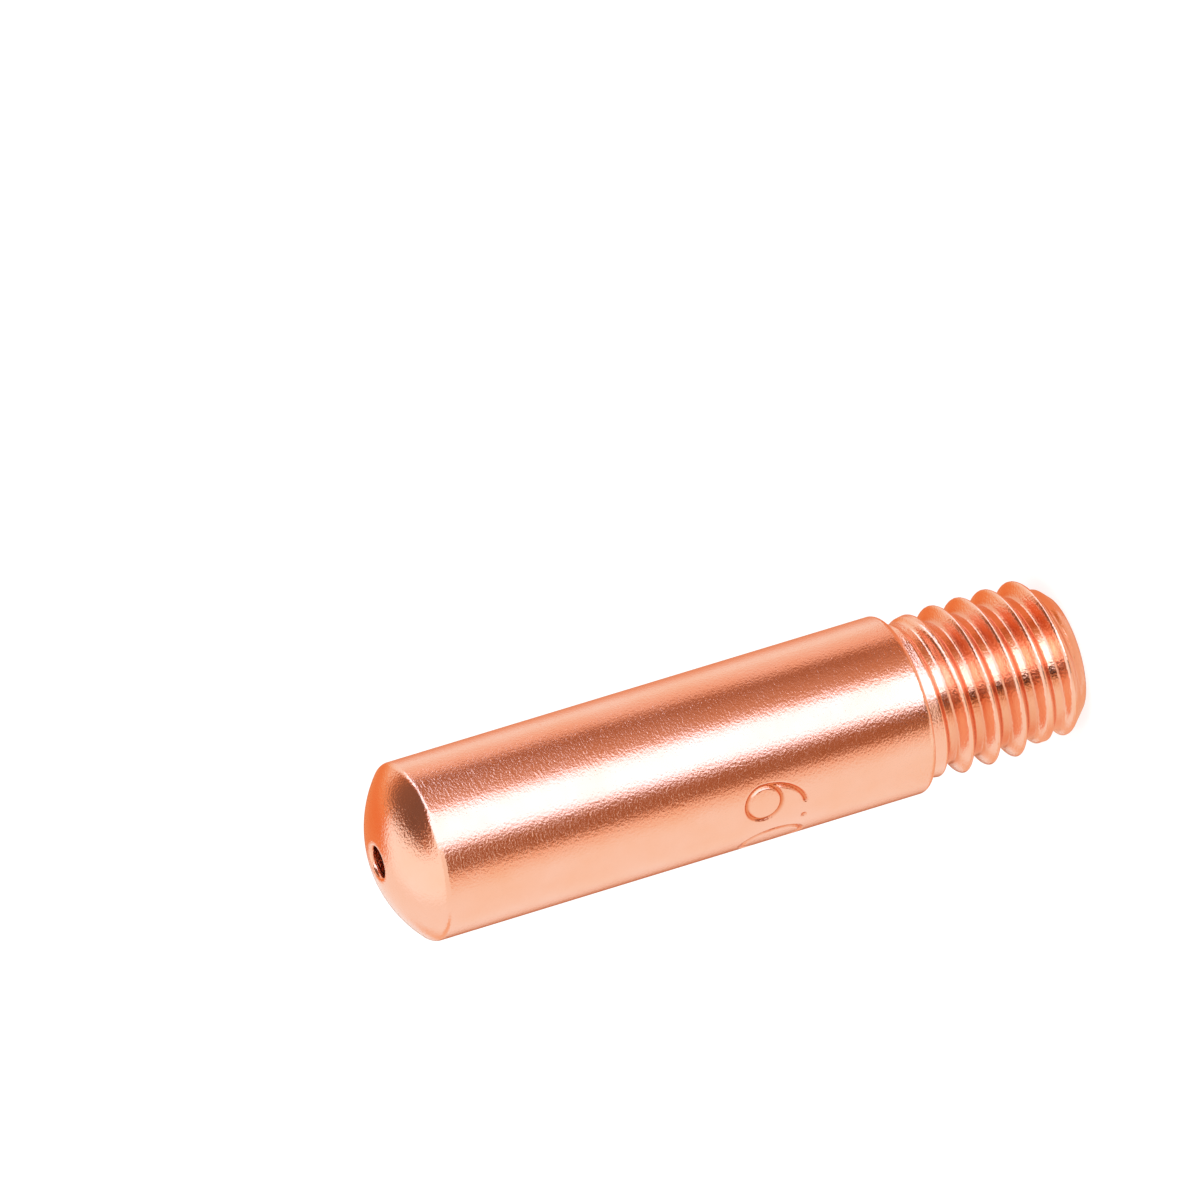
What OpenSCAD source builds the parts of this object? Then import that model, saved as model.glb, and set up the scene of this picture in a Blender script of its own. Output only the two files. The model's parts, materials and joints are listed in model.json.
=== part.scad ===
// Welding contact tip: a turned copper rod with a domed nose, a threaded end
// and a wire bore right through it. It stands on its threaded end, nose up.
// The origin is at the centre of that end, and lengths are in millimetres.

/* [Body] */
// Overall length, from the threaded end to the nose face
overall_length = 25.6; // [18:0.1:60]
// Diameter of the plain body
body_diameter = 6.3; // [5.6:0.05:10]
// Radius that rounds the shoulder's outer edge
shoulder_round = 0.2; // [0.05:0.05:0.8]

/* [Nose] */
// Height of the dome, from its rim to the nose face
nose_height = 1.25; // [0.4:0.05:2.4]
// Diameter of the small flat face around the wire hole
nose_face_diameter = 1.5; // [1.4:0.05:2.6]
// Radius that breaks the edge between the dome and the body
nose_edge_round = 0.28; // [0.02:0.01:0.5]

/* [Threaded end] */
// Length of the threaded end, up to the shoulder
thread_length = 6.1; // [4:0.05:12]
// Diameter over the thread's crests
thread_diameter = 5.8; // [4.5:0.05:9]
// Height of the bevel that leads the thread in
end_chamfer = 0.8; // [0.1:0.05:1.2]
// Length over which the thread runs out below the shoulder
runout_length = 1.4; // [0.2:0.05:2]
// Diameter of the plain neck that meets the shoulder
neck_diameter = 5.35; // [4:0.05:8.5]
// Pitch of the thread, from one turn to the next
thread_pitch = 1; // [0.5:0.05:1.3]
// Height of the thread groove's middle on the +X side, in its first turn
thread_start = 0.525; // [0:0.025:1]

/* [Wire passage] */
// Diameter of the bore that the wire slides through
bore_diameter = 1.1; // [0.6:0.05:2]
// Width of the broken edge where the bore leaves the nose
bore_edge = 0.12; // [0.02:0.01:0.15]
// Diameter of the mouth of the guide cone at the threaded end
guide_diameter = 2.6; // [2.1:0.05:3.4]
// Depth of the guide cone, from its mouth to the bore
guide_depth = 1.8; // [0.5:0.05:3]

/* [Hidden] */

$fn = 128;

// How far a cut reaches past the face that it opens
cut_margin = 1;

copper = [0.86, 0.52, 0.40];

body_radius = body_diameter / 2;
thread_radius = thread_diameter / 2;
neck_radius = neck_diameter / 2;
bore_radius = bore_diameter / 2;
nose_face_radius = nose_face_diameter / 2;

// The bevel runs at 45 degrees, so it takes as much radius as height
end_radius = thread_radius - end_chamfer;

// A 60 degree thread: the groove is a V with a flat bottom, and its depth and
// flat follow from the pitch
flank_angle = 30;
groove_depth = 0.58 * thread_pitch;
groove_flat = 0.2 * thread_pitch;

// How far the groove's cutter stands out of the crests
groove_margin = 0.09 * thread_pitch;

// The groove comes in below the end, and climbs out over its last half turn,
// just below the shoulder
groove_first = 360 * (-0.5 * thread_pitch - thread_start) / thread_pitch;
groove_last = 360 * (thread_length - 0.35 * thread_pitch - thread_start) / thread_pitch;
groove_rise = 180;

// The groove's sections are at most this many degrees apart
groove_step = 15;
groove_steps = ceil((groove_last - groove_first) / groove_step);

// The shoulder's rounding can't be wider than the step that it rounds
shoulder_edge = max(0.01, min(shoulder_round, body_radius - neck_radius));

// The dome is part of a sphere through the nose face's edge and the rim:
// its centre lies this far below the nose face
dome_depth = (pow(body_radius, 2) + pow(nose_height, 2) - pow(nose_face_radius, 2))
           / (2 * nose_height);
dome_radius = norm([nose_face_radius, dome_depth]);
dome_centre = overall_length - dome_depth;

// Centre of the circle that rounds the rim, inside both the dome and the body
rim_x = body_radius - nose_edge_round;
rim_z = dome_centre + sqrt(pow(dome_radius - nose_edge_round, 2) - pow(rim_x, 2));

// Half of the threaded end, seen from the side: bevel, thread and neck
module threaded_end_profile() {
    polygon([
        [0, 0],
        [end_radius, 0],
        [thread_radius, end_chamfer],
        [thread_radius, thread_length - runout_length],
        [neck_radius, thread_length],
        [neck_radius, thread_length + shoulder_edge],
        [0, thread_length + shoulder_edge],
    ]);
}

// Half of the plain body, with its rounded shoulder, up to the rim's rounding
module body_profile() {
    translate([0, thread_length])
        square([body_radius - shoulder_edge, rim_z - thread_length]);
    translate([0, thread_length + shoulder_edge])
        square([body_radius, rim_z - thread_length - shoulder_edge]);
    translate([body_radius - shoulder_edge, thread_length + shoulder_edge])
        circle(r = shoulder_edge);
}

// Half of the nose: the dome, cut off flat at the nose face, and its rim
module nose_profile() {
    // The dome ends on the line from its centre through the rim's centre
    reach = 3 * dome_radius;
    rim_line = [rim_x, rim_z - dome_centre] / norm([rim_x, rim_z - dome_centre]);
    intersection() {
        translate([0, dome_centre]) circle(r = dome_radius);
        translate([0, dome_centre])
            polygon([[0, 0], reach * rim_line, [0, reach]]);
        square([body_radius, overall_length]);
    }
    translate([rim_x, rim_z]) circle(r = nose_edge_round);
}

// Corners of the groove's section at one angle round the axis
function groove_section(angle) =
    let (
        depth = groove_depth * min(1, (groove_last - angle) / groove_rise),
        inner = thread_radius - depth,
        outer = thread_radius + groove_margin,
        inner_half = groove_flat / 2,
        outer_half = inner_half + (outer - inner) * tan(flank_angle),
        middle = thread_start + thread_pitch * angle / 360,
        corners = [
            [inner, -inner_half], [outer, -outer_half],
            [outer, outer_half], [inner, inner_half],
        ]
    )
    [for (c = corners) [c[0] * cos(angle), c[0] * sin(angle), middle + c[1]]];

// The thread's groove: its section, carried up the helix
module thread_groove() {
    sections = [for (i = [0 : groove_steps])
        groove_section(groove_first + (groove_last - groove_first) * i / groove_steps)];
    sides = [for (i = [0 : groove_steps - 1], j = [0 : 3])
        let (a = 4 * i + j, b = 4 * i + (j + 1) % 4)
            each [[a, b, b + 4], [a, b + 4, a + 4]]];
    last = 4 * groove_steps;
    polyhedron(
        points = [for (section = sections) each section],
        faces = concat([[3, 2, 1, 0]], sides, [[last, last + 1, last + 2, last + 3]])
    );
}

// What the wire runs through: the guide cone, the bore and the nose's edge
module wire_passage() {
    guide_slope = (guide_diameter / 2 - bore_radius) / guide_depth;
    translate([0, 0, -cut_margin])
        cylinder(r = bore_radius, h = overall_length + 2 * cut_margin);
    translate([0, 0, -cut_margin])
        cylinder(
            r1 = guide_diameter / 2 + guide_slope * cut_margin,
            r2 = bore_radius,
            h = guide_depth + cut_margin
        );
    translate([0, 0, overall_length - bore_edge])
        cylinder(
            r1 = bore_radius,
            r2 = bore_radius + bore_edge + cut_margin,
            h = bore_edge + cut_margin
        );
}

// The whole tip, turned from one rod, drilled through and threaded
module contact_tip() {
    color(copper)
        difference() {
            rotate_extrude() {
                threaded_end_profile();
                body_profile();
                nose_profile();
            }
            wire_passage();
            thread_groove();
        }
}

contact_tip();
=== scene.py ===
"""Contact tip: the looks of a turned copper welding tip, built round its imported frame.

The tip stands on its threaded end, nose up, with its axis on Z and its origin at the
centre of that end. Lengths are in metres. The tip is one closed surface: an outline in
radius and height, carried once round the axis, with the thread and a stamped wire size
worked into it.
"""

import json
import math

import bpy
import numpy as np
from bpy.props import FloatProperty, FloatVectorProperty, IntProperty, PointerProperty
from bpy.types import Operator, Panel, PropertyGroup
from mathutils import Matrix, Vector


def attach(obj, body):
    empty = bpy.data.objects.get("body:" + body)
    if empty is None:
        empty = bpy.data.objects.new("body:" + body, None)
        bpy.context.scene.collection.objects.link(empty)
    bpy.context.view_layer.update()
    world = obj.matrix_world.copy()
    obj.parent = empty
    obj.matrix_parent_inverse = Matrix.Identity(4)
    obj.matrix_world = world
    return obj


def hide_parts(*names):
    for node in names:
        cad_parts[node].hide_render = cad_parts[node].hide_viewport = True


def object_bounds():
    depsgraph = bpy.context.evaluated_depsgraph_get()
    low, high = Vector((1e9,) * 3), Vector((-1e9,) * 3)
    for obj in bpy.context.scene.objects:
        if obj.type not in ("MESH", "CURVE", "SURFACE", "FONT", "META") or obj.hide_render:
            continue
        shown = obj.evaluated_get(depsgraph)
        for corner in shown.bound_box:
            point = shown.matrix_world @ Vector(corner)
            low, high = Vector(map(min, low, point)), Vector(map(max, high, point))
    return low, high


bl_info = {
    "name": "Contact tip",
    "version": (1, 0, 0),
    "blender": (4, 5, 0),
    "location": "3D View > Sidebar > Contact tip",
    "description": "Builds a turned copper contact tip with its thread, mark and studio",
    "category": "Add Mesh",
}

MM = 0.001

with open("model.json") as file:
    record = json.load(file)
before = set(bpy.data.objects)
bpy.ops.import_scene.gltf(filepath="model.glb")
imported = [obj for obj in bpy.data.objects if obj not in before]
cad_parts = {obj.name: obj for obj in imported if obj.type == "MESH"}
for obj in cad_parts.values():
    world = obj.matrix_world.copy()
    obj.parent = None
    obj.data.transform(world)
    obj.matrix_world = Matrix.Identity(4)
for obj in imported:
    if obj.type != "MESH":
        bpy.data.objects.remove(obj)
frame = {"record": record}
cad_low, cad_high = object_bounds()
mounts = {mount["name"]: mount for mount in frame["record"]["mounts"]}


def metres(name, description, default):
    """A length in metres that the panel shows in scene units."""
    return FloatProperty(
        name=name, description=description, default=default, min=0.0, unit="LENGTH", precision=6
    )


def angle(name, description, degrees):
    """An angle, given here in degrees and held in radians."""
    return FloatProperty(name=name, description=description, default=math.radians(degrees), unit="ROTATION")


def share(name, description, default):
    """A plain number from 0 to 1."""
    return FloatProperty(name=name, description=description, default=default, min=0.0, max=1.0)


def colour(name, description, default):
    """A linear colour."""
    return FloatVectorProperty(
        name=name, description=description, default=default, size=3, min=0.0, subtype="COLOR"
    )


class TipSizes(PropertyGroup):
    """Sizes of the turned body and its wire passage."""

    body_diameter: metres("Body diameter", "Across the plain body", cad_high.x - cad_low.x)
    overall_length: metres("Overall length", "Threaded end to nose face", cad_high.z - cad_low.z)
    nose_height: metres("Nose height", "Rim of the dome to the nose face", 1.25 * MM)
    nose_face: metres("Nose face", "Diameter of the flat round the wire hole", 1.5 * MM)
    nose_edge: metres("Nose edge", "Radius that breaks the rim of the dome", 0.28 * MM)
    shoulder_round: metres("Shoulder round", "Radius on the shoulder's outer edge", 0.2 * MM)
    bore_diameter: metres("Bore", "Wire bore", 2 * mounts["wire_bore"]["dims"]["r_mm"] * MM)
    bore_edge: metres("Bore edge", "Radius on the edge of the wire hole", 0.12 * MM)
    guide_diameter: metres("Guide mouth", "Mouth of the cone that leads the wire in", 2.6 * MM)
    guide_depth: metres("Guide depth", "Depth of the cone that leads the wire in", 1.8 * MM)
    columns: IntProperty(name="Columns", description="Columns round the plain part", default=118, min=24)


class ThreadSizes(PropertyGroup):
    """Sizes of the screw thread."""

    diameter: metres("Over the crests", "Thread diameter", 2 * mounts["threaded_stud"]["dims"]["r_mm"] * MM)
    shoulder: metres("Shoulder", "Height of the shoulder above the threaded end", 6.1 * MM)
    pitch: metres("Pitch", "From one turn to the next", 1.0 * MM)
    depth: metres("Depth", "From crest to root", 0.48 * MM)
    root_width: metres("Root width", "Flat at the bottom of the groove", 0.36 * MM)
    root_round: metres("Root round", "Softness at the bottom of the groove", 0.12 * MM)
    crest_round: metres("Crest round", "Softness over the crest", 0.10 * MM)
    neck_diameter: metres("Neck", "Plain neck that meets the shoulder", 5.35 * MM)
    runout: metres("Run-out", "Length over which the crests sink to the neck", 1.4 * MM)
    groove_end: metres("Groove end", "How far below the shoulder the groove ends", 0.35 * MM)
    bevel: metres("Bevel", "Height of the 45 degree bevel at the end", 0.8 * MM)
    bevel_round: metres("Bevel round", "Softness of the bevel's edges", 0.08 * MM)
    start: metres("Start", "Height of the first groove on the +X side", 0.525 * MM)
    wear: metres("Wear", "How far the first crests are worn down on the -X side", 0.22 * MM)
    rows: IntProperty(name="Rows", description="Rows along the thread", default=160, min=40)


class MarkSizes(PropertyGroup):
    """Sizes of the stamped wire size, a plain 0.9."""

    height: metres("Digit height", "Along the tip's axis", 2.2 * MM)
    width: metres("Digit width", "Round the body", 1.35 * MM)
    gap: metres("Gap", "Between the characters", 0.28 * MM)
    stroke: metres("Stroke", "Width of a stroke", 0.22 * MM)
    depth: metres("Depth", "How deep the strokes are pressed in", 0.09 * MM)
    place: metres("Place", "Height of the digits' middle above the threaded end", 12.14 * MM)
    turn: angle("Turn", "Direction of the last digit's middle, from +X", -127.5)


class CopperLook(PropertyGroup):
    """Colours and finish of the copper, and the colour of the shade painted into its grooves."""

    bright: colour("Copper", "Clean metal", (0.97, 0.54, 0.385))
    warm: colour("Warm copper", "Metal in the faint warm patches", (0.96, 0.49, 0.31))
    # The colour of the shade painted darker into the bottom of the thread's grooves and the stamped strokes
    groove: colour("Groove", "Metal at the bottom of grooves", (0.80, 0.23, 0.085))
    smooth: share("Least roughness", "Roughness of the smoothest metal", 0.10)
    rough: share("Most roughness", "Roughness of the dullest metal", 0.17)


class StudioSettings(PropertyGroup):
    """Camera of the main view."""

    elevation: angle("Camera elevation", "How far the camera stands above the floor", 18.7)
    roll: angle("Camera roll", "Tip's axis above the picture's horizontal", 16.80)
    focal_length: FloatProperty(name="Focal length", description="In millimetres", default=800.0)
    frame_width: metres("Frame width", "What the picture spans at the tip", 40.73 * MM)
    aim_side: metres("Aim beside", "Picture's centre, to the +X side of the axis", 6.32 * MM)
    aim_height: metres("Aim height", "Height of the picture's centre", 15.276 * MM)


# The thread: half of its angle, how far round its worn side reaches in radians, the turns between which the
# wear comes in, the share of the painted groove shade that its roots take, and the shares of the groove's
# depth between which that painted shade comes in
FLANK_ANGLE = math.radians(30.0)
WORN_SPREAD = 1.1
WORN_TURNS = (2.3, 1.6)
GROOVE_SHADE_SHARE = 0.5
GROOVE_SHADE_DEPTHS = (0.5, 1.0)

# The digits, in shares of half a digit's width or height: height of the 9's loop, width of
# its tail, and how far down the point sits. Then the tail's sweep and half the point's length
LOOP_HEIGHT = 0.60
TAIL_WIDTH = 1.75
POINT_DROP = 0.95
TAIL_SWEEP = 0.46 * math.pi
POINT_HALF = 0.03 * MM

# Share of a stroke's half width that is level at its bottom, and points on the digits' curves
STROKE_LEVEL = 0.1
LOOP_POINTS = 33
TAIL_POINTS = 13

# The grid under the mark: its margin in strokes, and the spacing of its columns and rows
MARK_MARGIN = 2
MARK_COLUMN = 0.034 * MM
MARK_ROW = 0.036 * MM

# The body's rows below and above the mark, and how far from its ends they begin
BELOW_MARK_ROWS = 7
ABOVE_MARK_ROWS = 9
BODY_END = 0.5 * MM

# Rows on the other parts of the outline, and where the rows next to a flat part's ends lie,
# as shares of a wide and a narrow part. Rows closer together than the last value are one
PART_ROWS = {
    "guide": 4,
    "end": 4,
    "shoulder": 2,
    "corner": 10,
    "rim": 9,
    "dome": 30,
    "face": 2,
    "hole": 8,
    "bore": 8,
}
WIDE_HOLD = 0.02
NARROW_HOLD = 0.2
SAME_ROW = 1e-8


def smooth_least(a, b, softness):
    """The smaller of two arrays, rounded where they are within softness of each other."""
    overlap = np.clip(softness - np.abs(a - b), 0.0, None) / softness
    return np.minimum(a, b) - overlap**2 * softness / 4


def smooth_step(value, low, high):
    """0 at low, 1 at high, and a smooth S between them."""
    way = np.clip((value - low) / (high - low), 0.0, 1.0)
    return way * way * (3 - 2 * way)


def straight(start, end, shares):
    """Points on the line from start to end, at these shares of the way."""
    way = np.asarray(shares)[:, None]
    return (1 - way) * np.asarray(start) + way * np.asarray(end)


def held(count, hold=WIDE_HOLD):
    """Shares of a line with one more row close to each end, so that a flat face shades flat."""
    return np.concatenate(([0.0], np.linspace(hold, 1 - hold, count), [1.0]))


def arc(centre, radius, first, last, count):
    """Points on a circle about centre, from the angle first to the angle last."""
    turn = np.linspace(first, last, count)
    return np.stack((centre[0] + radius * np.cos(turn), centre[1] + radius * np.sin(turn)), 1)


def mark_middles(mark):
    """Middle of each character round the body, from the last digit's middle."""
    dot = -(mark.width / 2 + mark.gap + mark.stroke / 2)
    first = dot - (mark.stroke / 2 + mark.gap + mark.width / 2)
    return first, dot, 0.0


def mark_reach(mark):
    """Half the height of the finely divided strip under the mark."""
    return mark.height / 2 + MARK_MARGIN * mark.stroke


def stroke_paths(mark):
    """Centre lines of the characters 0 . 9 as segments, in (across, up) from the last digit's middle.

    The 0 is an ellipse, the point is a short dash, and the 9 is a smaller ellipse whose
    right side runs on into a quarter of a larger one, down to the left.
    """
    turn = np.linspace(0.0, 2 * math.pi, LOOP_POINTS)
    tail_turn = np.linspace(0.0, -TAIL_SWEEP, TAIL_POINTS)
    half_w = mark.width / 2
    half_h = mark.height / 2
    nought = np.stack((half_w * np.cos(turn), half_h * np.sin(turn)), 1)
    drop = -POINT_DROP * half_h
    dash = np.array(((-POINT_HALF, drop), (POINT_HALF, drop)))
    ring_h = LOOP_HEIGHT * half_h
    ring_mid = half_h - ring_h
    ring = np.stack((half_w * np.cos(turn), ring_mid + ring_h * np.sin(turn)), 1)
    tail_w = TAIL_WIDTH * half_w
    tail_h = half_h + ring_mid
    tail_x = half_w - tail_w + tail_w * np.cos(tail_turn)
    tail = np.stack((tail_x, ring_mid + tail_h * np.sin(tail_turn)), 1)
    middles = mark_middles(mark)
    lines = ((nought, middles[0]), (dash, middles[1]), (ring, middles[2]), (tail, middles[2]))
    starts = np.concatenate([line[:-1] + (middle, 0.0) for line, middle in lines])
    ends = np.concatenate([line[1:] + (middle, 0.0) for line, middle in lines])
    return starts, ends


def stamp(mark, across, up):
    """How deep the surface is pressed in at points (across, up).

    The distance to the nearest stroke's centre line gives a round-bottomed groove whose
    walls rise in a smooth S to the body.
    """
    starts, ends = stroke_paths(mark)
    points = np.stack((across, up), -1)[:, :, None, :]
    reach = ends - starts
    way = ((points - starts) * reach).sum(-1) / (reach**2).sum(-1)
    nearest = starts + np.clip(way, 0.0, 1.0)[..., None] * reach
    distance = np.sqrt(((points - nearest) ** 2).sum(-1)).min(-1)
    edge = mark.stroke / 2
    return mark.depth * (1 - smooth_step(distance, STROKE_LEVEL * edge, edge))


def thread_radius(thread, turn, height):
    """Radius of the threaded end at each direction and height, and how deep in the groove it lies.

    The groove's middle climbs one pitch in one turn. From it the radius rises at the slope
    of a 60 degree thread, softly out of the root. It is cut off softly at the crests, which
    sink to the neck near the shoulder and are worn down on one side of the end. The groove
    gets shallower over its last half turn, and at the end a 45 degree bevel cuts it.
    """
    crest = thread.diameter / 2
    neck = thread.neck_diameter / 2
    turns = (height - thread.start) / thread.pitch - turn / (2 * math.pi)
    from_groove = (turns - np.round(turns)) * thread.pitch
    groove_height = height - from_groove
    groove_left = thread.shoulder - thread.groove_end - groove_height
    depth = thread.depth * np.clip(groove_left / (thread.pitch / 2), 0.0, 1.0)
    flank = (np.abs(from_groove) - thread.root_width / 2) / math.tan(FLANK_ANGLE)
    rise = -smooth_least(-flank, np.zeros_like(flank), thread.root_round)

    below_shoulder = thread.shoulder - height
    crests = np.minimum(crest, neck + (crest - neck) * below_shoulder / thread.runout)
    from_worn_side = np.mod(turn, 2 * math.pi) - math.pi
    worn = thread.wear * np.exp(-((from_worn_side / WORN_SPREAD) ** 2))
    crests = crests - worn * smooth_step(height / thread.pitch, *WORN_TURNS)
    bevel = crest - thread.bevel + height
    crests = smooth_least(crests, bevel, thread.bevel_round)
    radius = smooth_least(crest - depth + rise, crests, thread.crest_round)
    return radius, (crests - radius) / thread.depth


def tip_columns(sizes, mark):
    """Directions of the columns: close together under the mark, and wider apart elsewhere."""
    first = mark_middles(mark)[0]
    body = sizes.body_diameter / 2
    margin = mark.width / 2 + MARK_MARGIN * mark.stroke
    low = mark.turn + (first - margin) / body
    high = mark.turn + margin / body
    fine = np.linspace(low, high, int((high - low) * body / MARK_COLUMN), endpoint=False)
    coarse = np.linspace(high, low + 2 * math.pi, sizes.columns, endpoint=False)
    return np.concatenate((fine, coarse))


def tip_outline(sizes, thread, mark):
    """The tip's outline as a closed loop of rows of (radius, height), and the part each row is on.

    It runs from the bore's lower end out through the guide cone, over the end face, up the
    thread, out over the rounded shoulder, up the body, over the rim and the dome, and back
    down the bore.
    """
    body = sizes.body_diameter / 2
    bore = sizes.bore_diameter / 2
    top = sizes.overall_length
    face = sizes.nose_face / 2
    dome_depth = (body**2 + sizes.nose_height**2 - face**2) / (2 * sizes.nose_height)
    dome = math.hypot(face, dome_depth)
    dome_mid = (0.0, top - dome_depth)
    rim_x = body - sizes.nose_edge
    rim_z = dome_mid[1] + math.sqrt((dome - sizes.nose_edge) ** 2 - rim_x**2)
    rim_turn = math.atan2(rim_z - dome_mid[1], rim_x)
    shoulder = thread.shoulder
    corner = (body - sizes.shoulder_round, shoulder + sizes.shoulder_round)
    end = thread.diameter / 2 - thread.bevel
    neck = thread.neck_diameter / 2
    guide = sizes.guide_diameter / 2
    edge = sizes.bore_edge
    low = mark.place - mark_reach(mark)
    high = mark.place + mark_reach(mark)
    body_z = np.concatenate(
        (
            (corner[1], corner[1] + MARK_ROW),
            np.linspace(corner[1] + BODY_END, low - MARK_ROW, BELOW_MARK_ROWS),
            np.linspace(low, high, int((high - low) / MARK_ROW)),
            np.linspace(high + MARK_ROW, rim_z - BODY_END, ABOVE_MARK_ROWS),
            (rim_z - MARK_ROW, rim_z),
        )
    )
    thread_z = np.linspace(0.0, shoulder, thread.rows)
    count = PART_ROWS
    parts = {
        "guide": straight((bore, sizes.guide_depth), (guide, 0.0), held(count["guide"])),
        "end": straight((guide, 0.0), (end, 0.0), held(count["end"])),
        "thread": np.stack((np.full_like(thread_z, end), thread_z), 1),
        "shoulder": straight((neck, shoulder), (corner[0], shoulder), held(count["shoulder"], NARROW_HOLD)),
        "corner": arc(corner, sizes.shoulder_round, -math.pi / 2, 0.0, count["corner"]),
        "body": np.stack((np.full_like(body_z, body), body_z), 1),
        "rim": arc((rim_x, rim_z), sizes.nose_edge, 0.0, rim_turn, count["rim"]),
        "dome": arc(dome_mid, dome, rim_turn, math.atan2(dome_depth, face), count["dome"]),
        "face": straight((face, top), (bore + edge, top), held(count["face"], NARROW_HOLD)),
        "hole": arc((bore + edge, top - edge), edge, math.pi / 2, math.pi, count["hole"]),
        "bore": straight((bore, top - edge), (bore, sizes.guide_depth), held(count["bore"])),
    }
    rows = np.concatenate(list(parts.values()))
    names = np.concatenate([np.full(len(part), name) for name, part in parts.items()])
    step_along = np.linalg.norm(rows - np.roll(rows, 1, 0), axis=1)
    kept = step_along > SAME_ROW
    return rows[kept], names[kept]


def tip_surface(sizes, thread, mark):
    """The tip's points on a grid of rows and columns, and the share of painted groove shade that each one
    takes.

    Each point is at its row's radius and height, turned to its column's direction. Thread
    rows take the thread's radius there, and body rows are pressed in by the mark.
    """
    rows, names = tip_outline(sizes, thread, mark)
    columns = tip_columns(sizes, mark)
    radius = np.repeat(rows[:, :1], len(columns), 1)
    height = np.repeat(rows[:, 1:], len(columns), 1)
    turn = np.repeat(columns[None, :], len(rows), 0)
    groove = np.zeros_like(radius)

    on_thread = names == "thread"
    radius[on_thread], sunk = thread_radius(thread, turn[on_thread], height[on_thread])
    # Painted shade: the thread's roots take the groove colour, more of it deeper down the groove
    groove[on_thread] = GROOVE_SHADE_SHARE * smooth_step(sunk, *GROOVE_SHADE_DEPTHS)

    on_mark = (names == "body") & (np.abs(rows[:, 1] - mark.place) < mark_reach(mark))
    body = sizes.body_diameter / 2
    across = (np.mod(turn[on_mark] - mark.turn + math.pi, 2 * math.pi) - math.pi) * body
    pressed = stamp(mark, across, height[on_mark] - mark.place)
    radius[on_mark] -= pressed
    # Painted shade: the stamped strokes take the groove colour, by how deep each point is pressed in
    groove[on_mark] = pressed / mark.depth

    points = np.stack((radius * np.cos(turn), radius * np.sin(turn), height), -1)
    return points, groove


def grid_faces(rows, columns, close_rows, close_columns):
    """Corners of the quads between neighbouring rows and columns, wrapped where the grid closes."""
    row = np.arange(rows if close_rows else rows - 1)[:, None]
    column = np.arange(columns if close_columns else columns - 1)[None, :]
    next_row = (row + 1) % rows
    next_column = (column + 1) % columns
    corners = (
        row * columns + column,
        row * columns + next_column,
        next_row * columns + next_column,
        next_row * columns + column,
    )
    return np.stack(np.broadcast_arrays(*corners), -1).reshape(-1, 4)


def surface_object(name, points, close_rows=False, close_columns=False):
    """A mesh object at the origin from a grid of points."""
    rows, columns = points.shape[:2]
    faces = grid_faces(rows, columns, close_rows, close_columns)
    mesh = bpy.data.meshes.new(name)
    mesh.vertices.add(rows * columns)
    mesh.vertices.foreach_set("co", points.astype(np.float32).ravel())
    mesh.loops.add(faces.size)
    mesh.loops.foreach_set("vertex_index", faces.astype(np.int32).ravel())
    mesh.polygons.add(len(faces))
    mesh.polygons.foreach_set("loop_start", np.arange(0, faces.size, 4, dtype=np.int32))
    mesh.polygons.foreach_set("use_smooth", np.ones(len(faces), dtype=bool))
    mesh.update(calc_edges=True)
    if mesh.validate():
        raise RuntimeError(f"{name}: the surface had bad faces")
    made = bpy.data.objects.new(name, mesh)
    bpy.context.scene.collection.objects.link(made)
    return made


def add_node(tree, kind, settings=None, values=None):
    """A node of this kind, with its settings and the values of its sockets."""
    made = tree.nodes.new(kind)
    for name, value in (settings or {}).items():
        setattr(made, name, value)
    for socket, value in (values or {}).items():
        made.inputs[socket].default_value = value
    return made


def new_material(name):
    """An empty node material and its tree."""
    material = bpy.data.materials.new(name)
    material.use_nodes = True
    material.node_tree.nodes.clear()
    return material, material.node_tree


def rgba(values):
    """A colour with full alpha."""
    return (*values, 1.0)


# The copper's noise: its scale along X, Y and Z, in cycles a metre, and its detail
PATCHES = ((420.0, 420.0, 420.0), 3.0)
GRAIN = ((10500.0, 10500.0, 13000.0), 2.0)
STREAKS = ((2200.0, 2200.0, 13000.0), 3.0)
NOISE_ROUGHNESS = 0.6

# Noise between which the patches come in and the finish goes from smooth to rough, the
# streaks' share of the relief, and the relief's height in metres
PATCH_RANGE = (0.35, 0.75)
FINISH_RANGE = (0.3, 0.7)
STREAK_SHARE = 0.4
RELIEF_HEIGHT = 1.15e-5

# Places of a Mix node's colour sockets, whose names its other sockets share
MIX_SHARE = 0
MIX_FIRST = 6
MIX_SECOND = 7
MIX_RESULT = 2


def stretched_noise(tree, place, scale, detail):
    """Noise on Object coordinates, with its own scale along each axis."""
    stretch = add_node(tree, "ShaderNodeMapping", values={"Scale": scale})
    values = {"Scale": 1.0, "Detail": detail, "Roughness": NOISE_ROUGHNESS}
    noise = add_node(tree, "ShaderNodeTexNoise", values=values)
    tree.links.new(place.outputs["Object"], stretch.inputs["Vector"])
    tree.links.new(stretch.outputs["Vector"], noise.inputs["Vector"])
    return noise.outputs["Fac"]


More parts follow.
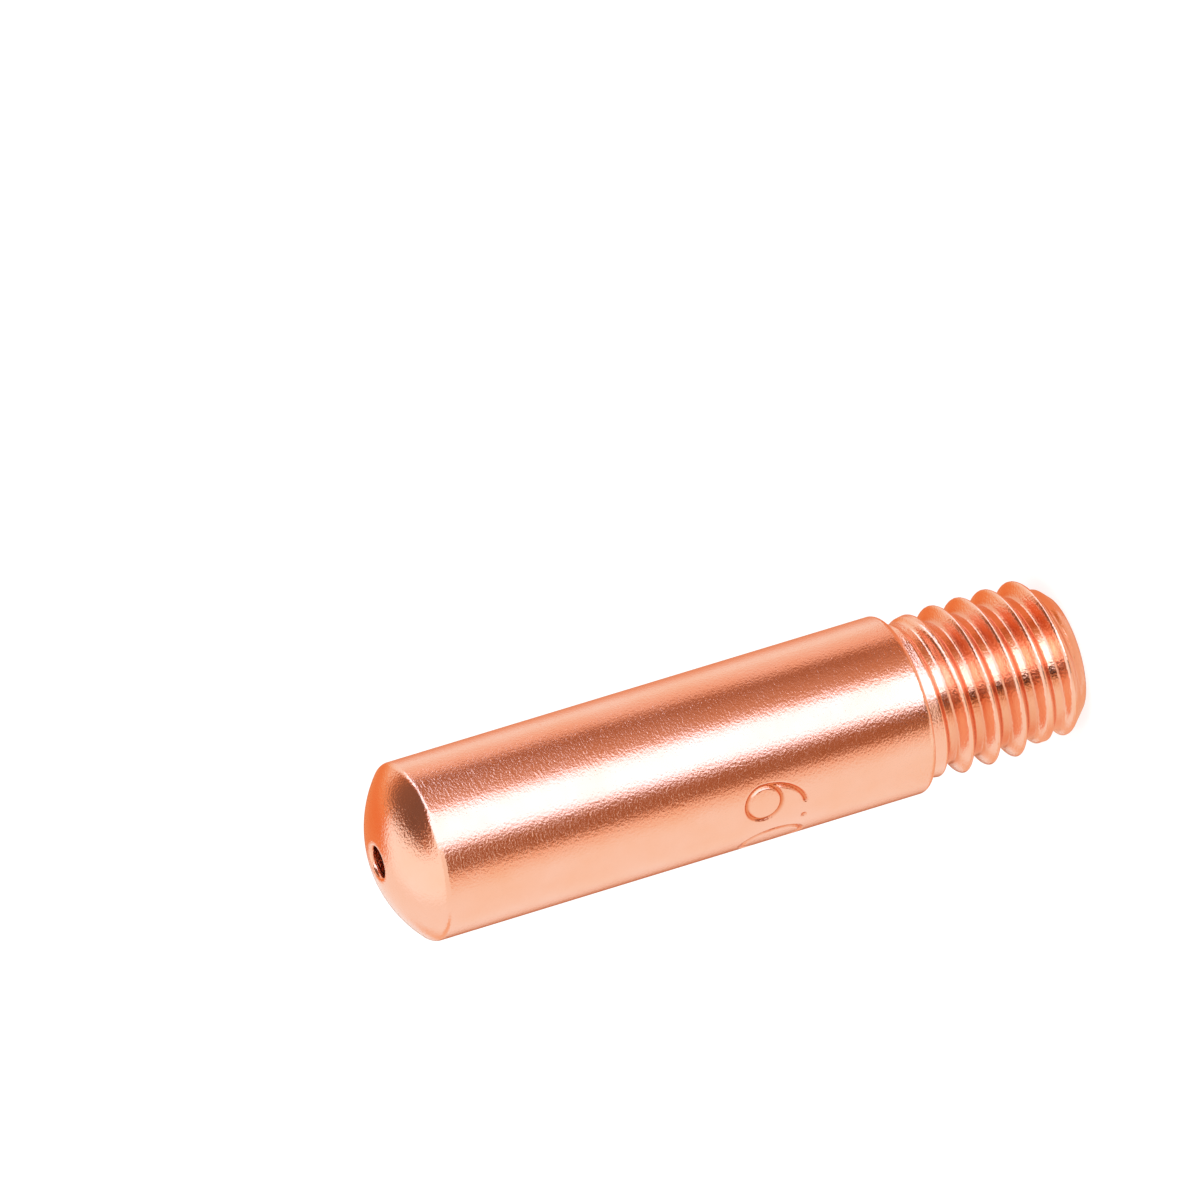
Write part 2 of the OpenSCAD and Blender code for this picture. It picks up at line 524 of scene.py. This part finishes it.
def turned_copper(look):
    """Satin copper with fine grain, streaks round the axis, warm patches, and shade painted darker into its
    grooves.
    """
    material, tree = new_material("turned_copper")
    link = tree.links.new
    place = add_node(tree, "ShaderNodeTexCoord")
    shader = add_node(tree, "ShaderNodeBsdfPrincipled", values={"Metallic": 1.0})
    output = add_node(tree, "ShaderNodeOutputMaterial")
    link(shader.outputs["BSDF"], output.inputs["Surface"])

    # Faint warm patches, a few millimetres across
    patches = stretched_noise(tree, place, *PATCHES)
    patch_ramp = add_node(tree, "ShaderNodeValToRGB")
    for stop, position, tone in zip(patch_ramp.color_ramp.elements, PATCH_RANGE, (look.bright, look.warm)):
        stop.position = position
        stop.color = rgba(tone)
    link(patches, patch_ramp.inputs["Fac"])

    # Shade painted darker into the bottom of the thread's grooves and the stamped strokes
    groove = add_node(tree, "ShaderNodeAttribute", {"attribute_name": "groove"})
    groove_shade_mix = add_node(tree, "ShaderNodeMix", {"data_type": "RGBA"})
    groove_shade_mix.inputs[MIX_SECOND].default_value = rgba(look.groove)
    link(groove.outputs["Fac"], groove_shade_mix.inputs[MIX_SHARE])
    link(patch_ramp.outputs["Color"], groove_shade_mix.inputs[MIX_FIRST])
    link(groove_shade_mix.outputs[MIX_RESULT], shader.inputs["Base Color"])

    # Fine grain, with streaks that are short along the axis and longer round it
    grain = stretched_noise(tree, place, *GRAIN)
    streaks = stretched_noise(tree, place, *STREAKS)
    both = add_node(tree, "ShaderNodeMath", {"operation": "MULTIPLY_ADD"})
    link(streaks, both.inputs[0])
    both.inputs[1].default_value = STREAK_SHARE
    link(grain, both.inputs[2])
    relief = add_node(tree, "ShaderNodeBump", values={"Strength": 1.0, "Distance": RELIEF_HEIGHT})
    link(both.outputs[0], relief.inputs["Height"])
    link(relief.outputs["Normal"], shader.inputs["Normal"])

    # The streaks make the finish a little duller and smoother by turns
    finish = add_node(
        tree,
        "ShaderNodeMapRange",
        values={
            "From Min": FINISH_RANGE[0],
            "From Max": FINISH_RANGE[1],
            "To Min": look.smooth,
            "To Max": look.rough,
        },
    )
    link(streaks, finish.inputs["Value"])
    link(finish.outputs["Result"], shader.inputs["Roughness"])
    return material


def seen_directly(tree):
    """A value of 1 for camera, glossy and transmission rays, and 0 for the rest."""
    path = add_node(tree, "ShaderNodeLightPath")
    first = add_node(tree, "ShaderNodeMath", {"operation": "MAXIMUM"})
    second = add_node(tree, "ShaderNodeMath", {"operation": "MAXIMUM"})
    tree.links.new(path.outputs["Is Camera Ray"], first.inputs[0])
    tree.links.new(path.outputs["Is Glossy Ray"], first.inputs[1])
    tree.links.new(first.outputs[0], second.inputs[0])
    tree.links.new(path.outputs["Is Transmission Ray"], second.inputs[1])
    return second.outputs[0]


def white_floor():
    """A floor with a glow of its own, which reads as white where it is lit and keeps its shadows."""
    material, tree = new_material("white_floor")
    link = tree.links.new
    paint = add_node(tree, "ShaderNodeBsdfDiffuse", values={"Color": rgba(FLOOR_PAINT)})
    glow = add_node(tree, "ShaderNodeEmission", values={"Color": rgba(WHITE)})
    lift = add_node(tree, "ShaderNodeMath", {"operation": "MULTIPLY"})
    lift.inputs[1].default_value = FLOOR_LIFT
    link(seen_directly(tree), lift.inputs[0])
    link(lift.outputs[0], glow.inputs["Strength"])
    both = add_node(tree, "ShaderNodeAddShader")
    link(paint.outputs["BSDF"], both.inputs[0])
    link(glow.outputs["Emission"], both.inputs[1])
    output = add_node(tree, "ShaderNodeOutputMaterial")
    link(both.outputs["Shader"], output.inputs["Surface"])
    return material


def reflection_card_glow():
    """A glow in the tone of the card's own points, which lights nothing and shows only as painted
    reflections in the copper.
    """
    material, tree = new_material("reflection_card_glow")
    tone = add_node(tree, "ShaderNodeAttribute", {"attribute_name": "tone"})
    glow = add_node(tree, "ShaderNodeEmission", values={"Strength": 1.0})
    output = add_node(tree, "ShaderNodeOutputMaterial")
    tree.links.new(tone.outputs["Color"], glow.inputs["Color"])
    tree.links.new(glow.outputs["Emission"], output.inputs["Surface"])
    return material


# Glowing cards that only reflected rays see and that light nothing: their tones paint the copper's
# highlights, dark bands and shaded patches as reflections. Some stand below the floor's level, since those
# rays pass through the floor. Directions are in degrees from -Y towards +X
RING_COLUMNS = 361
RING_ROWS = 9
WALL_COLUMNS = 181
WALL_ROWS = 9
WALL_RADIUS = 140.0 * MM

# The ring on the floor, which the body mirrors: its height, the hole through which the thread
# sees the walls below, and how its columns draw together near the tip
RING_LIFT = 0.02 * MM
RING_HOLE = 16.5 * MM
NARROWING = 0.25
NARROWING_HUB = -15.0
NARROWING_REACH = 90.0 * MM

# Two level cards with a pinhole in the middle: a soft box above the tip, and a card far below
# that the bevel mirrors
PINHOLE = 1.0 * MM
SOFT_BOX_RADIUS = 80.0 * MM
SOFT_BOX_HEIGHT = 120.0 * MM
BEVEL_CARD_HEIGHT = -230.0 * MM

# Heights between which the walls stand
LAMP_WALL = (0.0, 200.0 * MM)
RIM_WALL = (0.0, 55.0 * MM)
SIDE_WALL = (0.0, 180.0 * MM)
EDGE_WALL = (0.0, 60.0 * MM)
ROOT_WALL = (-90.0 * MM, -8.0 * MM)
FLANK_WALL = (-200.0 * MM, -90.0 * MM)

# The dark card over the nose, which paints a dark reflected patch on the dome, and a warm one behind it
# that shows past its edges: the middle of their spheres, their radii, their axis, and the angles from it at
# which they begin and end
NOSE_MIDDLE = np.array((0.0, 0.0, 24.5 * MM))
OVERHEAD_DIRECTION = math.radians(48.0)
OVERHEAD_RISE = math.radians(-10.0)
OVERHEAD_RADIUS = 40.0 * MM
OVERHEAD_SPAN = (24.0, 96.0)
FRINGE_RADIUS = 41.0 * MM
FRINGE_SPAN = (24.0, 98.5)

# Tones of the glowing cards, which paint the copper's reflections, its highlights and its shade. A lamp
# tone is brighter than white
WHITE = (1.0, 1.0, 1.0)
LAMP = (1.6, 2.0, 2.8)
LAMP_EDGE = (1.25, 1.15, 1.3)
ROOT_LAMP = (2.5, 3.4, 4.6)
NEAR_BLACK = (0.05, 0.022, 0.014)
SHADE = (0.20, 0.10, 0.07)
RED_BROWN = (0.75, 0.30, 0.16)
DARK_EDGE = (0.58, 0.22, 0.11)
PALE_SAND = (0.97, 0.86, 0.80)
BURNT_ORANGE = (0.58, 0.20, 0.07)
SOFT_LAMP = (1.12, 1.2, 1.28)
FRINGE = (0.90, 0.42, 0.22)
SOFT_ORANGE = (0.93, 0.64, 0.48)


def even(tone, first=-180, last=180):
    """Stops of one tone from the first direction to the last."""
    return ((first, tone), (last, tone))


# The tones round each card: a direction and the tone there
SOFT_BOX_TONES = even(SOFT_LAMP)
BEVEL_TONES = even(SOFT_ORANGE)
LAMP_TONES = even(LAMP, -4, 37)
RIM_TONES = even(LAMP, 37, 105)
FRINGE_TONES = even(FRINGE, -64, 13)
BODY_TONES = (
    (-180, DARK_EDGE),
    (-160, DARK_EDGE),
    (-150, (0.92, 0.70, 0.58)),
    (-140, (0.96, 0.86, 0.82)),
    (-138, WHITE),
    (-68, WHITE),
    (-66, (0.98, 0.92, 0.86)),
    (-54, (0.97, 0.80, 0.70)),
    (-44, (0.94, 0.56, 0.40)),
    (-40, (0.36, 0.15, 0.075)),
    (-14, (0.40, 0.17, 0.09)),
    (-5, LAMP_EDGE),
    (-4, LAMP),
    (40, LAMP),
    (41, LAMP_EDGE),
    (49, (0.72, 0.41, 0.29)),
    (92, (0.34, 0.13, 0.065)),
    (101, (0.94, 0.58, 0.46)),
    (126, PALE_SAND),
    (128, WHITE),
    (138, WHITE),
    (140, (0.96, 0.78, 0.70)),
    (156, (0.88, 0.40, 0.23)),
    (180, RED_BROWN),
)
ROOT_TONES = (
    (-180, (0.92, 0.50, 0.32)),
    (-125, (0.94, 0.56, 0.38)),
    (-95, (1.0, 0.95, 0.85)),
    (-60, (1.04, 1.15, 1.12)),
    (-45, (1.0, 0.90, 0.75)),
    (-33, (0.95, 0.50, 0.26)),
    (-29, NEAR_BLACK),
    (-14, NEAR_BLACK),
    (-10, LAMP_EDGE),
    (-7, ROOT_LAMP),
    (27, ROOT_LAMP),
    (33, LAMP_EDGE),
    (42, (0.95, 0.66, 0.44)),
    (58, BURNT_ORANGE),
    (70, BURNT_ORANGE),
    (80, (0.90, 0.42, 0.22)),
    (180, (0.85, 0.32, 0.15)),
)
FLANK_TONES = (
    (-160, (0.92, 0.55, 0.36)),
    (-110, (0.95, 0.66, 0.48)),
    (-75, WHITE),
    (-46, WHITE),
    (-34, (0.95, 0.60, 0.40)),
    (-28, SHADE),
    (-16, SHADE),
    (-10, (0.95, 0.58, 0.38)),
    (40, (0.95, 0.55, 0.35)),
    (60, (0.80, 0.42, 0.26)),
    (90, (0.90, 0.44, 0.26)),
    (180, (0.85, 0.36, 0.19)),
    (200, (0.92, 0.55, 0.36)),
)
SIDE_TONES = (
    (125, WHITE),
    (140, (0.97, 0.80, 0.68)),
    (148, (0.92, 0.45, 0.20)),
    (158, (0.87, 0.27, 0.09)),
    (170, (0.88, 0.33, 0.13)),
    (178, (0.90, 0.36, 0.16)),
    (182, WHITE),
)
EDGE_TONES = (
    (-165, WHITE),
    (-158, (0.94, 0.62, 0.44)),
    (-108, (0.95, 0.66, 0.48)),
    (-94, WHITE),
)
OVERHEAD_TONES = (
    (-62, (0.85, 0.36, 0.17)),
    (-56, (0.52, 0.23, 0.12)),
    (-48, (0.28, 0.14, 0.09)),
    (-15, (0.20, 0.11, 0.08)),
    (3, (0.24, 0.12, 0.08)),
    (10, (0.70, 0.30, 0.15)),
)


def directions(turns):
    """Unit vectors on the floor at these angles, in degrees from -Y towards +X."""
    turn = np.radians(turns)
    return np.stack((np.sin(turn), -np.cos(turn)), -1)


def tones_at(stops, places):
    """Tones at these places, evenly blended between the stops on either side."""
    at, tones = zip(*stops)
    return np.stack([np.interp(places, at, channel) for channel in zip(*tones)], -1)


def flat_ring(inner, outer, height, stops, narrowing=0.0):
    """Points and tones of a level ring whose tone goes by direction.

    Each row is a circle, and each column runs straight out from the tip. Near the tip the
    columns draw together towards one direction, by the narrowing, and least at the back.
    """
    turn = np.linspace(-180.0, 180.0, RING_COLUMNS)
    radius = np.linspace(inner, outer, RING_ROWS)[:, None]
    drawn = narrowing * np.clip(1 - radius / NARROWING_REACH, 0.0, 1.0) * (1 - (turn / 180.0) ** 2)
    flat = radius[..., None] * directions(turn + drawn * (NARROWING_HUB - turn))
    points = np.concatenate((flat, np.full((*flat.shape[:2], 1), height)), -1)
    return points, np.broadcast_to(tones_at(stops, turn), points.shape)


def wall(foot, top, stops):
    """Points and tones of an upright curved wall above or below the floor's level.

    Each row is at one height and each column in one direction, from the first stop to the last.
    """
    turn = np.linspace(stops[0][0], stops[-1][0], WALL_COLUMNS)
    height = np.linspace(foot, top, WALL_ROWS)
    flat = np.broadcast_to(WALL_RADIUS * directions(turn), (WALL_ROWS, WALL_COLUMNS, 2))
    rise = np.broadcast_to(height[:, None, None], (WALL_ROWS, WALL_COLUMNS, 1))
    points = np.concatenate((flat, rise), -1)
    return points, np.broadcast_to(tones_at(stops, turn), points.shape)


def overhead(radius, span, stops):
    """Points and tones of a curved card over the nose: a sector of a ring on a sphere.

    The ring's axis points from the sphere's middle in the overhead direction and rise. Rows
    are circles at the span's angles from that axis, and columns run round it, counted from
    its upward side. These angles are in degrees.
    """
    az = OVERHEAD_DIRECTION
    el = OVERHEAD_RISE
    axis = np.array((math.sin(az) * math.cos(el), -math.cos(az) * math.cos(el), math.sin(el)))
    upward = np.array((-math.sin(az) * math.sin(el), math.cos(az) * math.sin(el), math.cos(el)))
    sideways = np.cross(axis, upward)
    turn = np.linspace(stops[0][0], stops[-1][0], WALL_COLUMNS)
    round_turn = np.radians(turn)[None, :, None]
    lean = np.radians(np.linspace(*span, WALL_ROWS))[:, None, None]
    round_axis = np.cos(round_turn) * upward + np.sin(round_turn) * sideways
    points = NOSE_MIDDLE + radius * (np.cos(lean) * axis + np.sin(lean) * round_axis)
    return points, np.broadcast_to(tones_at(stops, turn), points.shape)


CARDS = {
    "body_ring": flat_ring(RING_HOLE, WALL_RADIUS, RING_LIFT, BODY_TONES, NARROWING),
    "soft_box": flat_ring(PINHOLE, SOFT_BOX_RADIUS, SOFT_BOX_HEIGHT, SOFT_BOX_TONES),
    "lamp_wall": wall(*LAMP_WALL, LAMP_TONES),
    "rim_wall": wall(*RIM_WALL, RIM_TONES),
    "side_wall": wall(*SIDE_WALL, SIDE_TONES),
    "edge_wall": wall(*EDGE_WALL, EDGE_TONES),
    "root_wall": wall(*ROOT_WALL, ROOT_TONES),
    "flank_wall": wall(*FLANK_WALL, FLANK_TONES),
    "bevel_card": flat_ring(PINHOLE, WALL_RADIUS, BEVEL_CARD_HEIGHT, BEVEL_TONES),
    "overhead_card": overhead(OVERHEAD_RADIUS, OVERHEAD_SPAN, OVERHEAD_TONES),
    "overhead_fringe": overhead(FRINGE_RADIUS, FRINGE_SPAN, FRINGE_TONES),
}

# The floor and its own glow, the surround's level as a light, the sun, and how far the lens sees
FLOOR_HALF = 3.0
FLOOR_LINES = 9
FLOOR_PAINT = (0.5, 0.5, 0.5)
FLOOR_LIFT = 0.74
WORLD_LEVEL = 0.55
SUN_POWER = 0.9
SUN_SPREAD = math.radians(40.0)
SUN_FROM = (0.05, -0.45, 0.80)
LENS_REACH = 20.0


class TIP_OT_contact_tip(Operator):
    """Build the copper tip as one closed surface"""

    bl_idname = "tip.contact_tip"
    bl_label = "Build the tip"

    def execute(self, context):
        scene = context.scene
        points, groove = tip_surface(scene.tip_sizes, scene.tip_thread, scene.tip_mark)
        tip = surface_object("contact_tip_turned", points, close_rows=True, close_columns=True)
        # The share of painted groove shade at each point, which the copper's colour reads
        depth = tip.data.attributes.new("groove", "FLOAT", "POINT")
        depth.data.foreach_set("value", groove.astype(np.float32).ravel())
        tip.data.materials.append(turned_copper(scene.tip_copper))
        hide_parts("contact_tip")
        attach(tip, "root")
        return {"FINISHED"}


class TIP_OT_studio(Operator):
    """Set up the floor, the cards, the light and the camera"""

    bl_idname = "tip.studio"
    bl_label = "Set up the studio"

    def execute(self, context):
        scene = context.scene
        scene.view_settings.view_transform = "Standard"
        self.floor()
        self.cards()
        self.light(scene)
        self.camera(scene)
        return {"FINISHED"}

    def floor(self):
        """A large flat floor under the tip.

        Reflected rays pass through it, so the metal mirrors the cards and the white surround.
        """
        across = np.linspace(-FLOOR_HALF, FLOOR_HALF, FLOOR_LINES)
        y, x = np.meshgrid(across, across, indexing="ij")
        floor = surface_object("floor", np.stack((x, y, np.zeros_like(x)), -1))
        floor.data.materials.append(white_floor())
        floor.visible_glossy = False

    def cards(self):
        """Glowing cards that only reflected rays see, which paint highlights, dark bands and shade into the
        metal's reflections.
        """
        card_glow = reflection_card_glow()
        for name, (points, tones) in CARDS.items():
            card = surface_object(name, points)
            painted = np.ones((*points.shape[:2], 4), dtype=np.float32)
            painted[..., :3] = tones
            tone = card.data.attributes.new("tone", "FLOAT_COLOR", "POINT")
            tone.data.foreach_set("color", painted.ravel())
            card.data.materials.append(card_glow)
            card.visible_camera = False
            card.visible_diffuse = False
            card.visible_transmission = False
            card.visible_shadow = False

    def light(self, scene):
        """An even white surround and one broad soft light from above."""
        world = bpy.data.worlds.new("studio")
        scene.world = world
        world.use_nodes = True
        tree = world.node_tree
        tree.nodes.clear()
        level = add_node(tree, "ShaderNodeMapRange", values={"To Min": WORLD_LEVEL, "To Max": 1.0})
        tree.links.new(seen_directly(tree), level.inputs["Value"])
        white = add_node(tree, "ShaderNodeBackground", values={"Color": rgba(WHITE)})
        tree.links.new(level.outputs["Result"], white.inputs["Strength"])
        output = add_node(tree, "ShaderNodeOutputWorld")
        tree.links.new(white.outputs["Background"], output.inputs["Surface"])
        lamp = bpy.data.lights.new("soft_light", "SUN")
        lamp.energy = SUN_POWER
        lamp.angle = SUN_SPREAD
        soft_light = bpy.data.objects.new("soft_light", lamp)
        soft_light.visible_glossy = False
        soft_light.rotation_mode = "QUATERNION"
        soft_light.rotation_quaternion = Vector(SUN_FROM).to_track_quat("Z", "Y")
        scene.collection.objects.link(soft_light)

    def camera(self, scene):
        """A far camera on the -Y side, rolled so that the tip's nose points to the lower left."""
        settings = scene.tip_studio
        lens = bpy.data.cameras.new("camera")
        lens.lens = settings.focal_length
        lens.clip_end = LENS_REACH
        distance = settings.frame_width * settings.focal_length / lens.sensor_width
        raised = settings.elevation
        back = Vector((0.0, -math.cos(raised), math.sin(raised)))
        plain_right = Vector((1.0, 0.0, 0.0))
        plain_up = Vector((0.0, math.sin(raised), math.cos(raised)))
        sine = math.sin(settings.roll)
        cosine = math.cos(settings.roll)
        right = -sine * plain_right - cosine * plain_up
        up = cosine * plain_right - sine * plain_up
        aim = Vector((settings.aim_side, 0.0, settings.aim_height))
        camera = bpy.data.objects.new("camera", lens)
        turned = Matrix((right, up, back)).transposed().to_4x4()
        camera.matrix_world = Matrix.Translation(aim + distance * back) @ turned
        scene.collection.objects.link(camera)
        scene.camera = camera


class TIP_PT_panel(Panel):
    """Sizes, looks and the two building steps"""

    bl_idname = "TIP_PT_panel"
    bl_label = "Contact tip"
    bl_space_type = "VIEW_3D"
    bl_region_type = "UI"
    bl_category = "Contact tip"

    def draw(self, context):
        layout = self.layout
        for name in GROUPS:
            box = layout.box()
            box.label(text=name.replace("_", " "))
            settings = getattr(context.scene, name)
            for each in settings.__annotations__:
                box.prop(settings, each)
        layout.operator(TIP_OT_contact_tip.bl_idname)
        layout.operator(TIP_OT_studio.bl_idname)


GROUPS = {
    "tip_sizes": TipSizes,
    "tip_thread": ThreadSizes,
    "tip_mark": MarkSizes,
    "tip_copper": CopperLook,
    "tip_studio": StudioSettings,
}
CLASSES = (*GROUPS.values(), TIP_OT_contact_tip, TIP_OT_studio, TIP_PT_panel)


def register():
    for each in CLASSES:
        bpy.utils.register_class(each)
    for name, group in GROUPS.items():
        setattr(bpy.types.Scene, name, PointerProperty(type=group))


def unregister():
    for name in GROUPS:
        delattr(bpy.types.Scene, name)
    for each in reversed(CLASSES):
        bpy.utils.unregister_class(each)


def main():
    """Registers the classes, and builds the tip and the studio."""
    register()
    bpy.ops.tip.contact_tip()
    bpy.ops.tip.studio()


if __name__ == "__main__":
    main()
